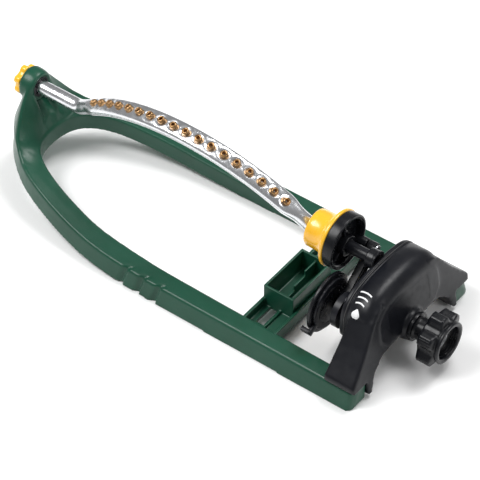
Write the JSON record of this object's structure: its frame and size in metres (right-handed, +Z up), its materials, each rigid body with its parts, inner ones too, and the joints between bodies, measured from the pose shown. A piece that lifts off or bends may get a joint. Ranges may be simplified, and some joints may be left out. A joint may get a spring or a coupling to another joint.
{
  "type": "oscillating lawn sprinkler",
  "caption": "Oscillating lawn sprinkler: open moulded frame, curved spray tube with jets, water-driven crank linkage and swivel hose nut.",
  "frame": {"origin": "centre of the bounding box on the ground plane under the frame, at rest", "axes": "+X along the spray tube towards the hose inlet, +Y across the frame to the far rail, +Z up; the spray tube is stored leaning 18 degrees towards -Y"},
  "size_m": [0.4202, 0.162, 0.1288],
  "materials": {
    "frame_green": "satin",
    "housing_black": "satin",
    "yellow": "gloss",
    "nut_black": "satin",
    "tube_aluminium": "polished",
    "brass": "satin",
    "screw_steel": "satin",
    "gear_plastic": "satin",
    "seal_rubber": "matte"
  },
  "bodies": {
    "base": {"base_frame": "frame_green", "foot_screws": "screw_steel", "housing_shell": "housing_black", "housing_cover": "housing_black", "cover_gasket": "seal_rubber", "cover_screws": "screw_steel", "gearbox_plate": "gear_plastic", "gear_arbor": "screw_steel", "crank_bush": "gear_plastic", "outlet_bush": "gear_plastic", "pivot_bush": "gear_plastic", "inlet_pipe": "housing_black"},
    "spray_bar": {"spray_tube": "tube_aluminium", "tube_collar": "yellow", "drive_disc": "housing_black", "journal": "housing_black", "journal_seal": "seal_rubber", "link_cap": "screw_steel", "jet_01": "brass", "jet_02": "brass", "jet_03": "brass", "jet_04": "brass", "jet_05": "brass", "jet_06": "brass", "jet_07": "brass", "jet_08": "brass", "jet_09": "brass", "jet_10": "brass", "jet_11": "brass", "jet_12": "brass", "jet_13": "brass", "jet_14": "brass", "jet_15": "brass", "jet_16": "brass", "jet_17": "brass", "jet_18": "brass"},
    "link": {"link_arm": "housing_black"},
    "crank": {"crank_shaft": "housing_black", "crank_wheel": "housing_black", "output_gear": "gear_plastic"},
    "dial": {"range_dial": "housing_black"},
    "reduction_gear": {"compound_gear": "gear_plastic"},
    "turbine": {"turbine_rotor": "gear_plastic", "turbine_shaft": "gear_plastic"},
    "hose_coupling": {"hose_nut": "nut_black", "hose_washer": "seal_rubber", "filter_screen": "screw_steel"},
    "plug": {"end_plug": "yellow", "plug_seal": "seal_rubber", "cleaning_pin": "screw_steel"}
  },
  "joints": [
    {"name": "bar_sweep", "type": "hinge", "parent": "base", "child": "spray_bar", "pos_m": [-0.024, 0, 0.0755], "axis": [1, 0, 0], "range_deg": [-56, 20]},
    {"name": "crank_turn", "type": "hinge", "parent": "base", "child": "crank", "pos_m": [0.134, -0.031, 0.0435], "axis": [1, 0, 0], "range_deg": [-94.5, 34.4]},
    {"name": "link_swing", "type": "hinge", "parent": "spray_bar", "child": "link", "pos_m": [0.1273, 0.01541, 0.06832], "axis": [1, 0, 0], "range_deg": [-19.5, 52.8]},
    {"name": "gear_turn", "type": "hinge", "parent": "base", "child": "reduction_gear", "pos_m": [0.152, -0.0178, 0.0435], "axis": [1, 0, 0], "range_deg": [-101.2, 281.6]},
    {"name": "turbine_spin", "type": "hinge", "parent": "base", "child": "turbine", "pos_m": [0.161, -0.0046, 0.0435], "axis": [1, 0, 0], "range_deg": [-842.7, 301.6]},
    {"name": "range_dial_set", "type": "hinge", "parent": "crank", "child": "dial", "pos_m": [0.1223, -0.031, 0.0435], "axis": [1, 0, 0], "range_deg": [0, 90]},
    {"name": "hose_nut_spin", "type": "hinge", "parent": "base", "child": "hose_coupling", "pos_m": [0.2, 0, 0.029], "axis": [1, 0, 0], "continuous": true},
    {"name": "end_plug_turn", "type": "hinge", "parent": "base", "child": "plug", "pos_m": [-0.2, 0, 0.0755], "axis": [1, 0, 0], "continuous": true}
  ],
  "couplings": [
    {"joint": "crank_turn", "follows": "bar_sweep", "ratio": 1.67},
    {"joint": "link_swing", "follows": "bar_sweep", "ratio": -0.925},
    {"joint": "gear_turn", "follows": "bar_sweep", "ratio": -5.01},
    {"joint": "turbine_spin", "follows": "bar_sweep", "ratio": 15.03}
  ]
}
